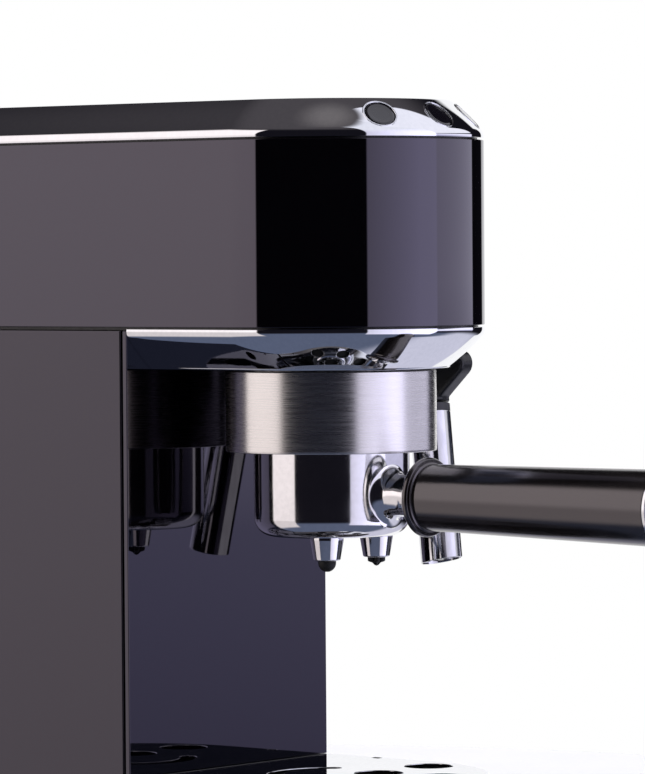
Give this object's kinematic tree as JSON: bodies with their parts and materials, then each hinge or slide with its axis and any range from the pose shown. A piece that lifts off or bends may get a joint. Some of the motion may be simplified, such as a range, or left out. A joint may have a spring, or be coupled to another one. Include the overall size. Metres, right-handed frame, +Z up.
{
  "type": "espresso machine",
  "caption": "Slim pump espresso machine with a round-fronted head, bayonet filter holder, swing-out steam wand, drip tray and lift-out rear water tank.",
  "frame": {"origin": "centre of the bounding box's underside, on the worktop", "axes": "+Z up, +Y towards the back of the machine, +X to the user's right; the handle points along -Y"},
  "size_m": [0.1492, 0.439, 0.305],
  "materials": {
    "black_plastic": "satin moulded",
    "gloss_black": "high gloss",
    "side_paint": "satin",
    "chrome": "mirror",
    "brushed_steel": "brushed round the axis",
    "polished_steel": "polished",
    "polished_alloy": "polished",
    "grille_steel": "polished",
    "steel": "plain",
    "zinc_steel": "zinc plated",
    "cast_alloy": "cast",
    "brass": "machined",
    "button_black": "gloss",
    "handle_black": "satin",
    "band_grey": "satin",
    "rubber": "matt",
    "silicone": "soft",
    "board_green": "varnished",
    "ceramic_white": "matt",
    "pump_grey": "matt",
    "coil_blue": "matt",
    "clear_plastic": "gloss",
    "tank_clear": "smoked clear plastic",
    "valve_red": "matt"
  },
  "bodies": {
    "body": {"base_pan": "black_plastic", "rubber_feet": "rubber", "case_screws": "steel", "chassis_frame": "zinc_steel", "left_side_panel": "side_paint", "right_side_panel": "side_paint", "front_panel": "gloss_black", "rear_cover": "black_plastic", "head_shell": "gloss_black", "head_frame": "black_plastic", "top_bezel": "chrome", "lower_bezel": "chrome", "underside_plate": "black_plastic", "cup_plate": "brushed_steel", "button_rings": "chrome", "control_board": "board_green", "group_collar": "brushed_steel", "group_head": "cast_alloy", "group_gasket": "rubber", "shower_screen": "steel", "shower_screw": "steel", "thermoblock": "cast_alloy", "thermostats": "ceramic_white", "pump": "pump_grey", "pump_mounts": "rubber", "flow_meter": "clear_plastic", "solenoid_valve": "coil_blue", "suction_hose": "silicone", "pressure_hose": "silicone", "steam_valve": "brass", "wand_socket": "black_plastic", "tank_seat": "black_plastic", "power_switch": "black_plastic", "cord_gland": "rubber"},
    "one_cup_button": {"button_one_cup": "button_black"},
    "two_cup_button": {"button_two_cups": "button_black"},
    "steam_button": {"button_steam": "button_black"},
    "steam_knob": {"steam_knob": "button_black", "knob_spindle": "steel"},
    "portafilter": {"portafilter_body": "polished_alloy", "spouts": "polished_alloy", "spout_tips": "button_black", "filter_basket": "steel", "basket_spring": "steel", "handle_ferrule": "chrome", "handle_grip": "handle_black", "handle_end_ring": "chrome", "handle_end_cap": "handle_black", "handle_rod": "steel"},
    "wand": {"wand_elbow": "black_plastic", "wand_band": "band_grey", "frother_sleeve": "polished_steel", "steam_tube": "steel"},
    "tray": {"tray_body": "black_plastic"},
    "grille": {"drip_grille": "grille_steel"},
    "tank": {"water_tank": "tank_clear", "lid_pin": "steel"},
    "lid": {"tank_lid": "black_plastic"},
    "valve": {"tank_valve": "valve_red"},
    "rocker": {"power_rocker": "button_black"}
  },
  "joints": [
    {"name": "one_cup_press", "type": "slide", "parent": "body", "child": "one_cup_button", "axis": [0.3543, 0.6212, -0.699], "range_m": [0, 0.0012], "stiffness_N_per_m": 600, "springref_m": -0.0008},
    {"name": "two_cup_press", "type": "slide", "parent": "body", "child": "two_cup_button", "axis": [0, 0.7151, -0.699], "range_m": [0, 0.0012], "stiffness_N_per_m": 600, "springref_m": -0.0008},
    {"name": "steam_press", "type": "slide", "parent": "body", "child": "steam_button", "axis": [-0.3543, 0.6212, -0.699], "range_m": [0, 0.0012], "stiffness_N_per_m": 600, "springref_m": -0.0008},
    {"name": "steam_knob_turn", "type": "hinge", "parent": "body", "child": "steam_knob", "pos_m": [0.0515, 0.0525, 0.251], "axis": [1, 0, 0], "range_deg": [0, 150]},
    {"name": "portafilter_turn", "type": "hinge", "parent": "body", "child": "portafilter", "pos_m": [-0.0115, -0.0475, 0.17], "axis": [0, 0, 1], "range_deg": [-50, 0]},
    {"name": "wand_swing", "type": "hinge", "parent": "body", "child": "wand", "pos_m": [0.05631, -0.04383, 0.19], "axis": [0, -1, 0], "range_deg": [0, 40]},
    {"name": "tray_slide", "type": "slide", "parent": "body", "child": "tray", "axis": [0, -1, 0], "range_m": [0, 0.13]},
    {"name": "grille_lift", "type": "slide", "parent": "tray", "child": "grille", "axis": [0, 0, 1], "range_m": [0, 0.03]},
    {"name": "tank_lift", "type": "slide", "parent": "body", "child": "tank", "axis": [0, 0, 1], "range_m": [0, 0.08]},
    {"name": "lid_turn", "type": "hinge", "parent": "tank", "child": "lid", "pos_m": [-0.0115, 0.1625, 0.286], "axis": [1, 0, 0], "range_deg": [0, 88]},
    {"name": "valve_lift", "type": "slide", "parent": "tank", "child": "valve", "axis": [0, 0, 1], "range_m": [0, 0.003]},
    {"name": "rocker_tilt", "type": "hinge", "parent": "body", "child": "rocker", "pos_m": [0.0491, 0.1125, 0.036], "axis": [0, 0, 1], "range_deg": [-12, 0]}
  ]
}
